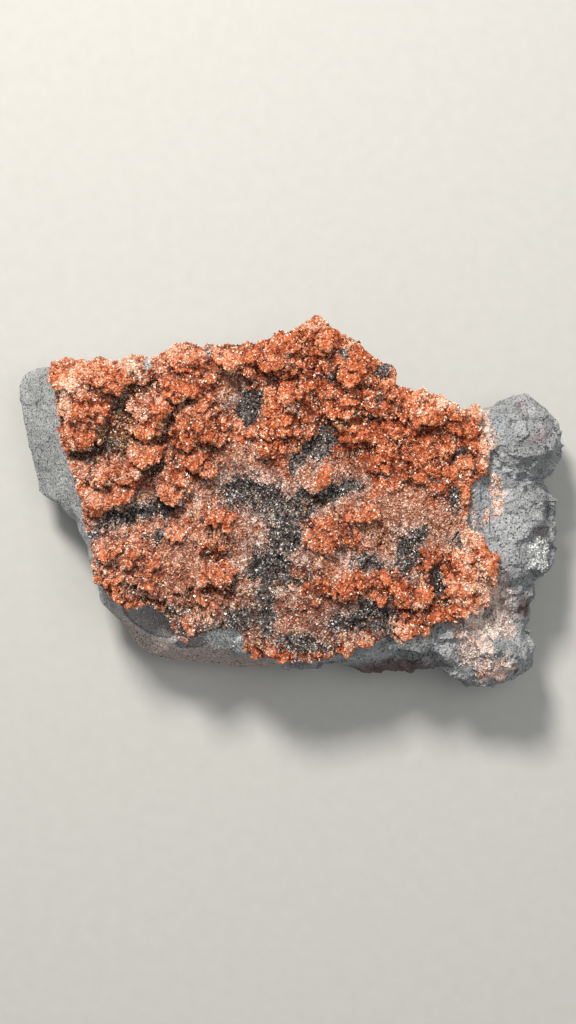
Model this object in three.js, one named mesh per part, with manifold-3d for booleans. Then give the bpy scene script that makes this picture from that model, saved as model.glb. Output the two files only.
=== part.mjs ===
// A hand-sized mineral specimen: a crust of small red hematite crystals on a broken block of grey rock.
// Millimetres, +Z up. The specimen lies on its back with the crust on top. +X runs along its long side,
// and the origin is the middle of its box, at the level of the surface that it rests on.

import * as THREE from "three";
import { LoftGeometry } from "three/addons/geometries/LoftGeometry.js";
import { SimplexNoise } from "three/addons/math/SimplexNoise.js";
import { mergeVertices } from "three/addons/utils/BufferGeometryUtils.js";
import Module from "manifold-3d";

// Driving dimensions
const ROCK_TOP = 30; // height of the face that the crust grows on
const CRUST_GAP = 0.3; // clearance between the rock and the crust, which only touch
const EDGE_GAP = 0.4; // clearance between the crust's edge and rock that rises beside it
const CRUST_BODY = 3.4; // thickness of the crust between its clumps
const CRUST_LEAST = 1.2; // thickness left under its deepest pits
const CRUST_CELL = 2.6; // spacing of the crust's surface points
const EDGE_STEP = 5; // longest step along an outline
const ROSETTE_RADIUS = [1.3, 2.3]; // smallest and largest knot of crystals
const ROSETTE_SPACING = 90; // square millimetres of clump to one knot of crystals
const RAGGED_EDGE = 1.5; // how far the clumps' edges wander
const CLUMP_SIDE = [0.68, 1.12]; // where a clump's side starts and ends, as shares of its half size

// The block below its widest outline, from its flat back up: share of the widest height, then share of
// the widest outline.
const UNDERSIDE = [[0, 0.8], [0.12, 0.87], [0.4, 0.94], [0.72, 0.98]];
// The block above its widest outline: how far each ring has come towards the crust's edge.
const SHOULDER = [0, 0.25, 0.5, 0.75, 1];
const ROUND_FROM = 35; // the shoulder is a straight slope as far along +X as this
const ROUND_TO = 52; // and fully round from here on
// How far the broken surface wanders: in the flat back, on the sides, on the shoulder, at the crust's edge.
const WANDER = { back: 0.3, side: 0.9, shoulder: 0.7, edge: 0.1 };
const LUMP_SWELL = 0.2; // how knobbly the lumps are, as a share of their size

// The rock's widest outline, clockwise from the upper left: x, y and the height where it is widest.
const ROCK_RIM = [
  // upper left corner, and the long edge behind the crust
  [-80, 35, 17], [-77, 38.5, 17], [-73.5, 40, 18], [-69, 40, 23], [-62.5, 39, 26], [-52.5, 38, 26],
  [-47, 39, 26], [-41.5, 41.5, 27], [-34.5, 40, 26], [-29.5, 43, 26], [-24, 41.5, 26], [-12, 43, 26],
  [-1, 46, 26], [8, 49, 26], [14.5, 44.5, 26], [20.5, 42, 26], [23, 38.5, 26], [28, 36, 26],
  [29, 32, 26], [36, 29.5, 26], [40, 28.5, 26], [47.5, 25, 26], [54, 26.5, 26],
  // upper right lobe
  [60, 28.5, 22], [69, 29.5, 20], [75, 24.5, 18], [78, 21.5, 18], [79.5, 17.5, 18], [77, 12.5, 18],
  [75.5, 9.5, 18],
  // middle of the right end, and the notch under it
  [73.5, 7, 18], [75.5, 3.5, 18], [75, -2.5, 18], [77, -5, 18], [76.5, -14, 18], [74.5, -18, 18],
  [70.5, -21.5, 18], [71.5, -25.5, 18], [70, -28.5, 18], [70.5, -33, 18], [67, -37, 18],
  // lower right lobe
  [70, -42, 18], [69.5, -46.5, 18], [66, -49.5, 18], [62, -51, 20], [57, -53, 20], [52, -51.5, 18],
  [48.5, -49, 17],
  // lower edge, with its two small teeth
  [44, -46.5, 17], [36.5, -47, 17], [29.5, -47.5, 17], [23, -49, 16], [16.5, -46, 16], [2, -46.5, 15],
  [-9.5, -47, 15], [-15.5, -49.5, 15], [-19.5, -47, 15], [-33, -45.5, 15], [-39, -44.5, 15],
  // lower left corner and the left end
  [-45, -39, 15], [-50, -33, 15], [-54.5, -27.5, 16], [-56.5, -19.5, 20], [-58.5, -11.5, 22],
  [-62, -4, 18], [-69, 1.5, 16], [-74, 5, 16], [-75, 11.5, 16], [-76.5, 21, 16], [-79, 30.5, 16],
];

// The crust's outline, clockwise from the upper left: x and y.
const CRUST_EDGE = [
  // upper edge, which rises to a peak right of the middle
  [-67, 39], [-64, 40], [-55.5, 39.5], [-48.5, 40], [-43, 41], [-37.5, 41], [-32.5, 43.5], [-29, 45],
  [-25.5, 43.5], [-18, 44], [-9, 45], [-1, 47.5], [5.5, 50.5], [8, 51.5], [10.5, 49.5], [16, 46.5],
  [20, 44.5], [23.5, 40.5], [29, 38.5], [30, 36.5], [29, 33.5], [33, 31.5], [37.5, 32], [42.5, 29],
  [46.5, 26.5], [53, 27.5],
  // right edge, with the grey bay in its middle
  [53.5, 22.5], [55.5, 16.5], [54, 9.5], [51, 5.5], [49.5, 1.5], [49, -4.5], [50.5, -7.5], [53.5, -8.5],
  [55, -12.5], [58, -14.5], [57.5, -19.5], [55.5, -24.5], [55.5, -28.5],
  // lower edge
  [51, -30.5], [45, -32], [41, -33], [38.5, -35.5], [32, -36.5], [26.5, -36.5], [22, -39], [10, -42.5],
  [1.5, -43.5], [-9, -42.5], [-12.5, -40.5], [-13.5, -35.5], [-17.5, -33.5], [-25, -35.5], [-29, -38],
  [-32.5, -34.5], [-35.5, -30], [-40.5, -27.5], [-46, -28],
  // left edge
  [-51, -25.5], [-54, -21.5], [-55.5, -12.5], [-58, -4.5], [-60, 7], [-63, 15.5], [-65, 23.5],
  [-66.5, 35],
];

// Clumps of the crust that stand proud: x, y, half length, half width, turn in degrees, height.
const CLUMPS = [
  // plates and ledges of the upper left
  [-56, 35.5, 10.5, 4.8, 0, 4], [-59, 26, 5.8, 9.5, 6, 4], [-40, 25, 5.8, 5.4, 30, 3.6],
  [-25.5, 30, 8.5, 7.5, 0, 3.4], [-27, 21.5, 6, 5, -20, 3.8], [-31, 38, 8.5, 5.5, 0, 3],
  [-29, 42.5, 2.6, 2.8, 0, 2], [-15.5, 40.5, 6.5, 3.6, -5, 3],
  // left side
  [-41, 14, 3.8, 4, 0, 3], [-28.5, 14, 3.6, 2.2, 0, 2.6], [-23.5, 11, 3.4, 2.2, 0, 2.6],
  [-50, 9.5, 9, 2.8, 8, 3], [-51.5, 2, 7, 3.8, 6, 3], [-32, 5.5, 4.2, 5, 0, 2.6],
  [-46, -17, 9, 8, -20, 2.4], [-22, -6, 8.4, 5.6, 0, 1.6], [-18, -19, 4.4, 3.6, 0, 1.6],
  // mass around the peak
  [9, 47, 3.4, 3.6, 0, 2.4], [-1, 42.5, 6, 4.4, 20, 2.4], [2, 30, 6.5, 6, 0, 2.6],
  [15.5, 38.5, 7, 5.5, -30, 2.8], [14, 27, 6.5, 4, -15, 2.6], [25, 31, 5.5, 5.5, 0, 2],
  [29, 37, 2.6, 2.2, 0, 1.6], [38, 27, 6, 3.6, -25, 1.8],
  // domes and lumps of the middle and the right
  [-8, 16, 3.2, 2.4, 0, 2], [8, 7.5, 4, 3.8, 0, 2.6], [20.5, -2, 5, 3, -10, 2.6],
  [10.5, -8, 7.8, 4.8, 10, 2.2], [14.5, -22, 4.4, 3.8, 0, 2.6], [51, -20, 5.6, 8, 0, 2.6],
  [34.5, -26, 6.4, 2.4, 5, 2.2], [34, -32, 7, 3.4, 0, 2], [42, 10, 7, 6, 0, 1], [-2, -36, 8, 4, 0, 1],
];

// Hollows between the clumps: x, y, half length, half width, turn in degrees, depth.
const HOLLOWS = [
  // dark floors under the ledges of the upper left
  [-52.5, 15, 8.5, 2.8, -10, 1.6], [-47, 28.5, 3, 6.5, -15, 1.8], [-31.5, 28, 2.8, 1.6, 0, 3.6],
  [-33, 17, 3, 3, 0, 1.6], [-50, 6.6, 2.6, 1.1, 10, 2.4], [-51, -1.8, 4, 1, 0, 2], [-40, -3, 8, 3, 15, 1.6],
  [-31, 4, 1.2, 0.9, 0, 3], [-41.5, -15.5, 1.4, 1, 0, 2.4], [-51, -23, 2.4, 0.9, 0, 2],
  [-22, -23, 3, 1.4, -10, 2.8],
  // the deep pit below the upper edge, and the floor beside it
  [-6.5, 34.5, 3, 2.2, -20, 4.2], [-12, 28.5, 3.8, 6.5, 10, 2],
  // bays of the middle
  [5.5, 15.5, 7, 2.6, 36, 1.4], [-9, 1.5, 8, 5, 0, 1.3], [14, 2.5, 6, 2.4, 25, 1.2],
  [-6.5, -18, 5, 5, 0, 1.2], [-2.5, -29.5, 6, 4, 0, 1.2], [20, -33.5, 6, 2.8, 10, 1.2],
  [32, -12, 3.4, 4.5, -20, 1.2], [41.5, -24, 2.2, 4, 0, 2],
  // shadow lines under the ledges of the right
  [-2.5, 20, 3.2, 1.1, 0, 2.2], [14.5, 22, 3, 1.1, -10, 2.2], [20, 17.5, 5, 1.2, -35, 2],
  [23, 8.5, 3, 1, -20, 1.6],
  [37, 5, 7, 1, -6, 1.6], [45.5, 12, 1.4, 1.4, 0, 1.6], [23, 24.5, 1.6, 1.4, 0, 1.8],
];

// Lumps of rock that stand out of the block: centre x, y, z, then half sizes along x, y and z.
const ROCK_LUMPS = [
  [66, 20.5, 19, 13, 12.5, 14], // upper right lobe
  [58, 18.5, 18, 10, 8.5, 13.5], // its shoulder beside the crust
  [60, 13, 21, 9, 5, 10], // its ridge above the bay
  [62, -7, 18, 12.5, 14.5, 11.5], // flat middle of the right end
  [67, 0, 17, 9, 6.5, 10.5], // its upper corner
  [59, -40, 19, 10.5, 11, 12.5], // lower right lobe
  [50, -37, 20, 9, 6, 9.5], // shelf below the crust
  [37.5, -44, 18, 7.5, 3.4, 7], // lump on the lower edge
];

// Flat fractures that part the block from what broke away: a point on the face, then the way it looks
// as a turn about +Z from +X and a rise above the horizon, both in degrees.
const FRACTURES = [
  [-66, 30, 28.5, 183, 44], // bright face of the left end
  [-59, 2, 29, 199, 40], // its lower part
  [-50, -31, 26, 222, 38], // lower left corner
  [-30, -41, 29, 262, 50], // lower left, next to it
  [8, -45.5, 22, 264, 22], // lower face
  [77, -29.5, 20, 345, 25], // notch of the right end
  [67, 30, 28, 52, 38], // top of the upper right lobe
  [73, 27.4, 20, 45, 15], // its outer corner
  [-74, 20, 8, 185, -25], // under the left end
  [0, 48, 10, 92, -12], // upper side
  [20, -47, 6, 266, -20], // lower side
  [76, 0, 8, 5, -30], // under the right end
];

// Shell-shaped chips: centre x, y, z and radius of the ball that the hollow follows.
const CHIPS = [
  [-42, -39, 41, 18],
  [66, -29, 39, 15],
  [60, 4.5, 42, 13],
];

const wasm = await Module();
wasm.setup();

// A fixed sequence of numbers between 0 and 1, so that the stone is the same stone each time.
function sequence(seed) {
  let state = seed;
  return () => {
    state = (state * 1664525 + 1013904223) % 4294967296;
    return state / 4294967296;
  };
}

const noise = new SimplexNoise({ random: sequence(11) });

// Smooth noise between about -1 and 1, whose bumps are about `size` millimetres apart.
function roughness(x, y, z, size) {
  return noise.noise3d(x / size, y / size, z / size);
}

function solidOf(geometry) {
  const bare = new THREE.BufferGeometry();
  bare.setAttribute("position", geometry.attributes.position);
  bare.setIndex(geometry.index);
  const merged = mergeVertices(bare, 1e-4);
  return new wasm.Manifold(
    new wasm.Mesh({
      numProp: 3,
      vertProperties: merged.attributes.position.array,
      triVerts: new Uint32Array(merged.index.array),
    }),
  );
}

function geometryOf(solid) {
  const { vertProperties, triVerts } = solid.getMesh();
  const geometry = new THREE.BufferGeometry();
  geometry.setAttribute("position", new THREE.BufferAttribute(vertProperties, 3));
  geometry.setIndex(new THREE.BufferAttribute(triVerts, 1));
  const flat = geometry.toNonIndexed();
  flat.computeVertexNormals();
  return flat;
}

// The outline with extra points where a step is longer than `step`.
function resampled(outline, step) {
  const points = [];
  outline.forEach((from, i) => {
    const to = outline[(i + 1) % outline.length];
    const parts = Math.ceil(Math.hypot(to[0] - from[0], to[1] - from[1]) / step);
    for (let k = 0; k < parts; k++) {
      points.push(from.map((value, axis) => value + ((to[axis] - value) * k) / parts));
    }
  });
  return points;
}

// How far out the outline lies from the origin in the direction of the point x, y.
function reach(outline, x, y) {
  const length = Math.hypot(x, y);
  const [dx, dy] = [x / length, y / length];
  let best = 0;
  outline.forEach((from, i) => {
    const to = outline[(i + 1) % outline.length];
    const [ex, ey] = [to[0] - from[0], to[1] - from[1]];
    const cross = dx * ey - dy * ex;
    const along = (from[0] * ey - from[1] * ex) / cross;
    const share = (from[0] * dy - from[1] * dx) / cross;
    if (share >= 0 && share <= 1) best = Math.max(best, along);
  });
  return best;
}

// How much of a clump or hollow there is at a point: 1 on its top, 0 outside it, with a steep side.
function plateau([cx, cy, halfLength, halfWidth, turn], x, y) {
  const angle = THREE.MathUtils.degToRad(turn);
  const along = (x - cx) * Math.cos(angle) + (y - cy) * Math.sin(angle);
  const across = (y - cy) * Math.cos(angle) - (x - cx) * Math.sin(angle);
  const distance = Math.hypot(along / halfLength, across / halfWidth);
  return 1 - THREE.MathUtils.smoothstep(distance, ...CLUMP_SIDE);
}

// Thickness of the crust at a point. The clumps' edges are made ragged by shifting the point first.
function crustThickness(x, y) {
  const [sx, sy] = [x + RAGGED_EDGE * roughness(x, y, 3, 6), y + RAGGED_EDGE * roughness(x, y, 40, 6)];
  let thickness = CRUST_BODY + 0.9 * roughness(x, y, 0, 24) + 0.5 * roughness(x, y, 0, 5);
  for (const clump of CLUMPS) thickness += clump[5] * plateau(clump, sx, sy);
  for (const hollow of HOLLOWS) thickness -= hollow[5] * plateau(hollow, sx, sy);
  return Math.max(thickness, CRUST_LEAST);
}

// A block as large as the outline's box, whose upper face follows the crust's relief. It is lofted from
// one cross-section for each row of surface points.
function reliefBlock() {
  const xs = CRUST_EDGE.map((point) => point[0]);
  const ys = CRUST_EDGE.map((point) => point[1]);
  const [left, right] = [Math.min(...xs) - CRUST_CELL, Math.max(...xs) + CRUST_CELL];
  const [low, high] = [Math.min(...ys) - CRUST_CELL, Math.max(...ys) + CRUST_CELL];
  const columns = Math.round((right - left) / CRUST_CELL);
  const rows = Math.round((high - low) / CRUST_CELL);
  const bed = ROCK_TOP + CRUST_GAP;
  const sections = [];
  for (let row = 0; row <= rows; row++) {
    const y = THREE.MathUtils.lerp(low, high, row / rows);
    const section = [];
    for (let column = 0; column <= columns; column++) {
      const x = THREE.MathUtils.lerp(left, right, column / columns);
      section.push(new THREE.Vector3(x, y, bed + crustThickness(x, y)));
    }
    section.push(new THREE.Vector3(right, y, bed - 1), new THREE.Vector3(left, y, bed - 1));
    sections.push(section);
  }
  return new LoftGeometry(sections, { capStart: true, capEnd: true });
}

// A small knot of crystals with flat faces.
function rosette(x, y, radius, random) {
  const knot = new THREE.IcosahedronGeometry(radius, 0);
  knot.scale(0.8 + 0.4 * random(), 0.8 + 0.4 * random(), 0.8 + 0.4 * random());
  knot.rotateX(random() * Math.PI);
  knot.rotateZ(random() * Math.PI);
  knot.translate(x, y, ROCK_TOP + CRUST_GAP + crustThickness(x, y) - 0.25 * radius);
  return solidOf(knot);
}

// The space above the rock's top face inside the crust's outline, made larger all round by `margin`.
function aboveBed(bed, margin) {
  const points = resampled(CRUST_EDGE, EDGE_STEP).map(([x, y]) => {
    const point = new THREE.Vector2(x + 0.5 * roughness(x, y, 9, 5), y + 0.5 * roughness(x, y, 30, 5));
    return point.setLength(point.length() + margin);
  });
  const space = new THREE.ExtrudeGeometry(new THREE.Shape(points), { depth: ROCK_TOP, bevelEnabled: false });
  space.translate(0, 0, bed);
  return solidOf(space);
}

// The crust: its relief with knots of crystals grown on the clumps, cut to its outline and its bed.
function crustGeometry() {
  let crust = solidOf(reliefBlock());
  const random = sequence(23);
  for (const [cx, cy, halfLength, halfWidth, turn] of CLUMPS) {
    const count = Math.max(1, Math.round((Math.PI * halfLength * halfWidth) / ROSETTE_SPACING));
    for (let k = 0; k < count; k++) {
      const angle = random() * 2 * Math.PI;
      const out = 0.75 * Math.sqrt(random());
      const spot = new THREE.Vector2(halfLength * out * Math.cos(angle), halfWidth * out * Math.sin(angle));
      spot.rotateAround(new THREE.Vector2(), THREE.MathUtils.degToRad(turn));
      const radius = THREE.MathUtils.lerp(...ROSETTE_RADIUS, random());
      const [x, y] = [cx + spot.x, cy + spot.y];
      if (Math.hypot(x, y) + radius > reach(CRUST_EDGE, x, y)) continue;
      crust = crust.add(rosette(x, y, radius, random));
    }
  }
  return geometryOf(crust.intersect(aboveBed(ROCK_TOP + CRUST_GAP, 0)));
}

// Moves a point in or out by a few tenths, as a broken surface does.
function chipped(x, y, z, amount) {
  const scale = 1 + (amount * (roughness(x, y, z, 9) + 0.6 * roughness(x, y, z, 4))) / Math.hypot(x, y);
  return new THREE.Vector3(x * scale, y * scale, z);
}

// One ring of the block below its widest outline.
function undersideRing(rim, height, size) {
  const wander = height > 0 ? WANDER.side : WANDER.back;
  return rim.map(([x, y, widest]) => chipped(x * size, y * size, widest * height, wander));
}

// One ring of the block between its widest outline and the crust's edge.
function shoulderRing(rim, share) {
  const wander = share < 1 ? WANDER.shoulder : WANDER.edge;
  return rim.map(([x, y, widest]) => {
    const out = Math.hypot(x, y);
    const edge = Math.min(reach(CRUST_EDGE, x, y) + CRUST_GAP, 0.985 * out);
    const size = THREE.MathUtils.lerp(out, edge, share) / out;
    const round = THREE.MathUtils.smoothstep(x, ROUND_FROM, ROUND_TO);
    const rise = THREE.MathUtils.lerp(share, Math.sqrt(1 - (1 - share) ** 2), round);
    return chipped(x * size, y * size, THREE.MathUtils.lerp(widest, ROCK_TOP, rise), wander);
  });
}

// The block: rings from the flat back, out to the widest outline, and up its shoulder to the crust's edge.
function blockGeometry() {
  const rim = resampled(ROCK_RIM, EDGE_STEP).reverse();
  const rings = UNDERSIDE.map(([height, size]) => undersideRing(rim, height, size));
  for (const share of SHOULDER) rings.push(shoulderRing(rim, share));
  return new LoftGeometry(rings, { capStart: true, capEnd: true });
}

// A lump of rock with a knobbly surface.
function lump([x, y, z, halfX, halfY, halfZ]) {
  const ball = new THREE.IcosahedronGeometry(1, 2);
  const points = ball.attributes.position;
  for (let i = 0; i < points.count; i++) {
    const point = new THREE.Vector3().fromBufferAttribute(points, i);
    const swell = 1 + LUMP_SWELL * roughness(point.x + x, point.y + y, point.z, 0.9);
    points.setXYZ(i, point.x * swell, point.y * swell, point.z * swell);
  }
  ball.scale(halfX, halfY, halfZ);
  ball.translate(x, y, z);
  return solidOf(ball);
}

// What broke away beyond one flat fracture.
function beyondFracture([x, y, z, turn, rise]) {
  const size = 120;
  const away = new THREE.BoxGeometry(size, size, size);
  away.translate(size / 2, 0, 0);
  away.rotateY(-THREE.MathUtils.degToRad(rise));
  away.rotateZ(THREE.MathUtils.degToRad(turn));
  away.translate(x, y, z);
  return solidOf(away);
}

function chip([x, y, z, radius]) {
  const ball = new THREE.IcosahedronGeometry(radius, 3);
  ball.translate(x, y, z);
  return solidOf(ball);
}

function matrixGeometry() {
  let rock = solidOf(blockGeometry());
  for (const row of ROCK_LUMPS) rock = rock.add(lump(row));
  for (const row of FRACTURES) rock = rock.subtract(beyondFracture(row));
  for (const row of CHIPS) rock = rock.subtract(chip(row));
  return geometryOf(rock.subtract(aboveBed(ROCK_TOP, EDGE_GAP)));
}

// The block of grey rock that the crystals grew on.
function matrix() {
  const stone = new THREE.MeshStandardMaterial({ color: "#92979c", roughness: 0.9, metalness: 0 });
  const mesh = new THREE.Mesh(matrixGeometry(), stone);
  mesh.name = "matrix";
  return mesh;
}

// The crust of hematite crystals over the block's upper face.
function hematiteCrust() {
  const hematite = new THREE.MeshStandardMaterial({ color: "#b4552f", roughness: 0.35, metalness: 0 });
  const mesh = new THREE.Mesh(crustGeometry(), hematite);
  mesh.name = "hematite_crust";
  return mesh;
}

const specimen = new THREE.Group();
specimen.add(matrix(), hematiteCrust());

// The origin goes to the middle of the specimen's box, at the level that it rests on.
const box = new THREE.Box3().setFromObject(specimen);
const middle = box.getCenter(new THREE.Vector3());
specimen.position.set(-middle.x, -middle.y, -box.min.z);

const group = new THREE.Group();
group.add(specimen);

export default group;
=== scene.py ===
import math

import bmesh
import bpy
import numpy as np
from mathutils import Matrix, Vector, noise


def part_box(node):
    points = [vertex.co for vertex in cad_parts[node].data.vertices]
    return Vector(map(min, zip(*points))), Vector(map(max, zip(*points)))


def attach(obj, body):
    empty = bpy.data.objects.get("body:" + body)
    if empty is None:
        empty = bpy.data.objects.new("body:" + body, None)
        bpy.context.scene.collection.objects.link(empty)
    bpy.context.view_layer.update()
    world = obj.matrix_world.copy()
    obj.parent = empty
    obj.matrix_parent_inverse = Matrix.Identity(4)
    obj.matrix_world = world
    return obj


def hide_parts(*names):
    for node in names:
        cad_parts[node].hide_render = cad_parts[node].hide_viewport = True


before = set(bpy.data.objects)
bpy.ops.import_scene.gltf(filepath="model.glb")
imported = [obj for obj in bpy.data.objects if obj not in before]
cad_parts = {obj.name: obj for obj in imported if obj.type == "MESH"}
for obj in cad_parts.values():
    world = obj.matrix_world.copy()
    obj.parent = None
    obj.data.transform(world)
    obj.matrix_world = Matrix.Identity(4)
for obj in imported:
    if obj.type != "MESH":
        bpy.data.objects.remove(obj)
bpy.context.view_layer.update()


# The block of rock: a fine-grained grey rock, broken from its bed by hand. Its left end is one clean flat
# fracture, and its right end broke into rounded lobes with small steps. Dark specks show all over it, and
# pale veins and loose patches of crystals grow on its right end.
MM = 0.001
NOISE_SEED = 5  # keeps the frayed edges of the patches the same in each run
ROCK_VOXEL = 0.62 * MM
ROCK_FACETS = [(11 * MM, 0.16), (5 * MM, 0.2), (2.2 * MM, 0.13)]  # spacing and tilt of the broken facets
ROCK_ROUGHNESS = 0.12 * MM
ROUGHNESS_SPACING = 2.2 * MM
LEDGE_RISE = 1.7 * MM
CHIP_DEPTH = 1.7 * MM
BLOW = (-50 * MM, -27 * MM, 20 * MM)  # the ripples in the chips run round this point
RIPPLE_SPACING = 0.7 * MM
FLAT_END = -45 * MM  # left of this the fracture is clean
LOBED_END = 40 * MM  # right of this it is rough
FLAT_ROUGHNESS = 0.2  # of the clean fracture, against the rough end's 1

# Patches on the rock, in millimetres: x, y, half length, half width, turn in degrees. The ledges stand up
# from it, and the chips are hollows like the inside of a shell.
LEDGES = [
    (66, 20, 11, 10.5, 0), (62.5, 15.6, 5.5, 2.4, 18), (64.5, -6.5, 10, 13, 0), (57.5, -6.5, 3.6, 3.4, 0),
    (64, -25, 4.5, 4, 0), (61, -41.5, 6.6, 7, 0), (46, -35.5, 4, 2.2, 0), (39, -41, 7, 3.2, 0),
]
CHIPS = [(-41, -32.2, 8.6, 3.8, -28), (-28.5, -38.5, 5, 1.8, 5)]

# Where crystals grow on the rock.
CREAM_PATCHES = [
    (54.5, -36.5, 3.2, 5.2, -20), (52, -32, 4, 1.6, -10), (59, -44.5, 3.6, 2.8, 0), (55.5, -48, 2.6, 1.8, 0),
    (59, 3.8, 1.6, 2, 0), (57.6, 0.5, 4, 1, 56), (49, -37, 2.2, 1.4, 0), (55.2, 21, 0.8, 7, 0),
    (56, -27.5, 3.4, 5.6, 0), (53.5, -34, 3.4, 5, 20),
]
ORANGE_PATCHES = [
    (57.5, -46, 4.4, 2.8, 10), (57.9, 6.7, 3.6, 1.1, -63), (56.8, -0.5, 5, 1.2, 56), (59.5, -45, 3, 2.2, 0),
    (56.5, -25, 2.2, 4, 5), (52.5, -37.5, 2.8, 1.6, 30), (60.5, -44.5, 2.4, 1.8, 0),
    (47, -35.5, 2.4, 0.8, 0), (54.8, 21, 0.9, 7.5, 0),
]
PINK_GREY_PATCHES = [
    (57.5, -25, 4.2, 8, 5), (58, -33, 4.5, 3.5, 0), (61, -35, 2.6, 2.6, 0), (51, -41, 4.5, 3, 0),
    (49, -33, 4, 2, 0), (56, 22, 1.2, 8, 0), (51.5, -1, 0.9, 6, 0),
]
WHITE_DRUSE = [(69.8, -12.5, 3, 4.8, -25)]

# Where the rock's colour changes: stains and facets on its right end; the lower face, mauve at the left
# with painted fill light over its own tint, and dark at the right with painted shade over its own brown;
# and parts of the shelf under the crust, painted paler as if more light fell on them.
PLUM_STAINS = [(70, 20.5, 4, 2.4, 0), (72, -7, 2.2, 3, 0), (65.5, 29, 3, 2, 0)]
BLUE_FACETS = [(53, 0.5, 1.9, 5.6, -8), (57, 25, 2.6, 4, 20)]
DARK_FACE_PAINTED_SHADE = [(14, -49, 18, 4, 0), (30, -46, 14, 3.5, 0), (66.5, -28.5, 3, 4, 0)]
MAUVE_FACE_PAINTED_FILL = [
    (-31, -40.5, 16, 6, -12), (-44, -34, 8, 8, -40), (-14, -46, 12, 3.5, 0), (-32.5, -33, 2.2, 4.5, 25),
]
PAINTED_LIGHT_SHELF = [(-18.6, -36.9, 6.4, 3.1, 12), (34, -38.2, 7, 2, 6)]
noise.seed_set(NOISE_SEED)


def even_copy(node, name, voxel):
    """A copy of a node of the frame, remeshed into small even faces, with its flat base in large ones."""
    solid = bmesh.new()
    solid.from_mesh(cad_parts[node].data)
    bmesh.ops.remove_doubles(solid, verts=solid.verts, dist=0.005 * MM)
    mesh = bpy.data.meshes.new(name)
    solid.to_mesh(mesh)
    solid.free()
    piece = bpy.data.objects.new(name, mesh)
    bpy.context.scene.collection.objects.link(piece)
    remesh = piece.modifiers.new("even faces", "REMESH")
    remesh.mode = "VOXEL"
    remesh.voxel_size = voxel
    shape = bpy.data.meshes.new_from_object(piece.evaluated_get(bpy.context.evaluated_depsgraph_get()))
    piece.modifiers.clear()
    piece.data = shape
    shape.name = name
    even = bmesh.new()
    even.from_mesh(shape)
    low = min(vert.co.z for vert in even.verts)
    base = [face for face in even.faces if max(vert.co.z for vert in face.verts) < low + 0.2 * voxel]
    joined = bmesh.ops.dissolve_faces(even, faces=base, use_verts=False)["region"]
    bmesh.ops.triangulate(even, faces=joined)
    even.to_mesh(shape)
    even.free()
    return piece


def points_of(mesh):
    places = np.zeros(len(mesh.vertices) * 3)
    mesh.vertices.foreach_get("co", places)
    return places.reshape(-1, 3)


def normals_of(mesh):
    normals = np.zeros(len(mesh.vertices) * 3)
    mesh.vertices.foreach_get("normal", normals)
    return normals.reshape(-1, 3)


def place_points(mesh, places):
    mesh.vertices.foreach_set("co", places.ravel())
    mesh.update()


def facet(point, spacing):
    """Height of a surface broken into flat facets, each tilted its own way, as a share of their spacing."""
    at = point / spacing
    centre = noise.voronoi(at)[1][0]
    return (at - centre).dot(noise.cell_vector(centre * 7.3) - Vector((0.5, 0.5, 0.5)))


def smoothstep(low, high, values):
    """How far each value is on its way from `low` to `high`, eased, from 0 to 1. Either may be greater."""
    share = np.clip((values - low) / (high - low), 0, 1)
    return share * share * (3 - 2 * share)


def wandered(places, size, shift):
    """The points moved a little by smooth noise, so that a patch tested on them has a ragged edge."""
    moved = [noise.noise_vector(Vector(place) / size) for place in places]
    return places + shift * np.array(moved)


def within(places, row):
    """How far along and across one patch each point lies, from its middle, against its half sizes."""
    x, y, half_length, half_width, turn = row
    angle = math.radians(turn)
    across, up = places[:, 0] - x * MM, places[:, 1] - y * MM
    along = (across * math.cos(angle) + up * math.sin(angle)) / (half_length * MM)
    aside = (up * math.cos(angle) - across * math.sin(angle)) / (half_width * MM)
    return along, aside


def patch(places, rows, full=0.55, none=1.2):
    """How deep each point lies in the patches: 1 out to the share `full` of one's size, 0 from `none` on."""
    most = np.zeros(len(places))
    for row in rows:
        most = np.maximum(most, 1 - smoothstep(full, none, np.hypot(*within(places, row))))
    return most


def steps_down(places, rows):
    """Height of overlapping clumps, each sloping up to a step at its lower edge, from 0 to 1."""
    most = np.zeros(len(places))
    for row in rows:
        along, aside = within(places, row)
        inside = 1 - smoothstep(0.98, 1.1, np.hypot(along, aside))
        most = np.maximum(most, inside * np.clip(0.6 - 0.4 * aside, 0, 1))
    return most


def waves(places, size, seed):
    """Smooth noise at each point, between about -1 and 1, in patches about `size` wide."""
    shift = Vector((seed, 0, 0))
    return np.array([noise.noise(Vector(place) / size + shift) for place in places])


def keep_share(mesh, name, values):
    """Stores one number for each vertex, which a material reads by its name."""
    stored = mesh.attributes.new(name, "FLOAT", "POINT")
    stored.data.foreach_set("value", values.astype(np.float32))


rock = even_copy("matrix", "rock_block", ROCK_VOXEL)
rock_points = points_of(rock.data)
rock_normals = normals_of(rock.data)
rough_share = FLAT_ROUGHNESS + (1 - FLAT_ROUGHNESS) * smoothstep(FLAT_END, LOBED_END, rock_points[:, 0])
off_the_base = smoothstep(0.2 * MM, 3 * MM, rock_points[:, 2])
rock_relief = np.array([
    sum(tilt * spacing * 2 * facet(Vector(place), spacing) for spacing, tilt in ROCK_FACETS)
    for place in rock_points
])
rock_grit = np.array([noise.fractal(Vector(place) / ROUGHNESS_SPACING, 0.9, 2.1, 3) for place in rock_points])
rise = (rock_relief * rough_share + ROCK_ROUGHNESS * rock_grit) * off_the_base
ragged_rock = wandered(wandered(rock_points, 5 * MM, 2.2 * MM), 1.8 * MM, 1.2 * MM)
looks_up = rock_normals[:, 2] > 0
rise -= CHIP_DEPTH * np.sqrt(patch(rock_points, CHIPS, 0, 1)) * off_the_base
moved = rock_points + rock_normals * rise[:, None]
moved[:, 2] += LEDGE_RISE * steps_down(ragged_rock, LEDGES) * looks_up
place_points(rock.data, moved)
cream = patch(ragged_rock, CREAM_PATCHES, 0.4, 1.4) * looks_up
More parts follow.
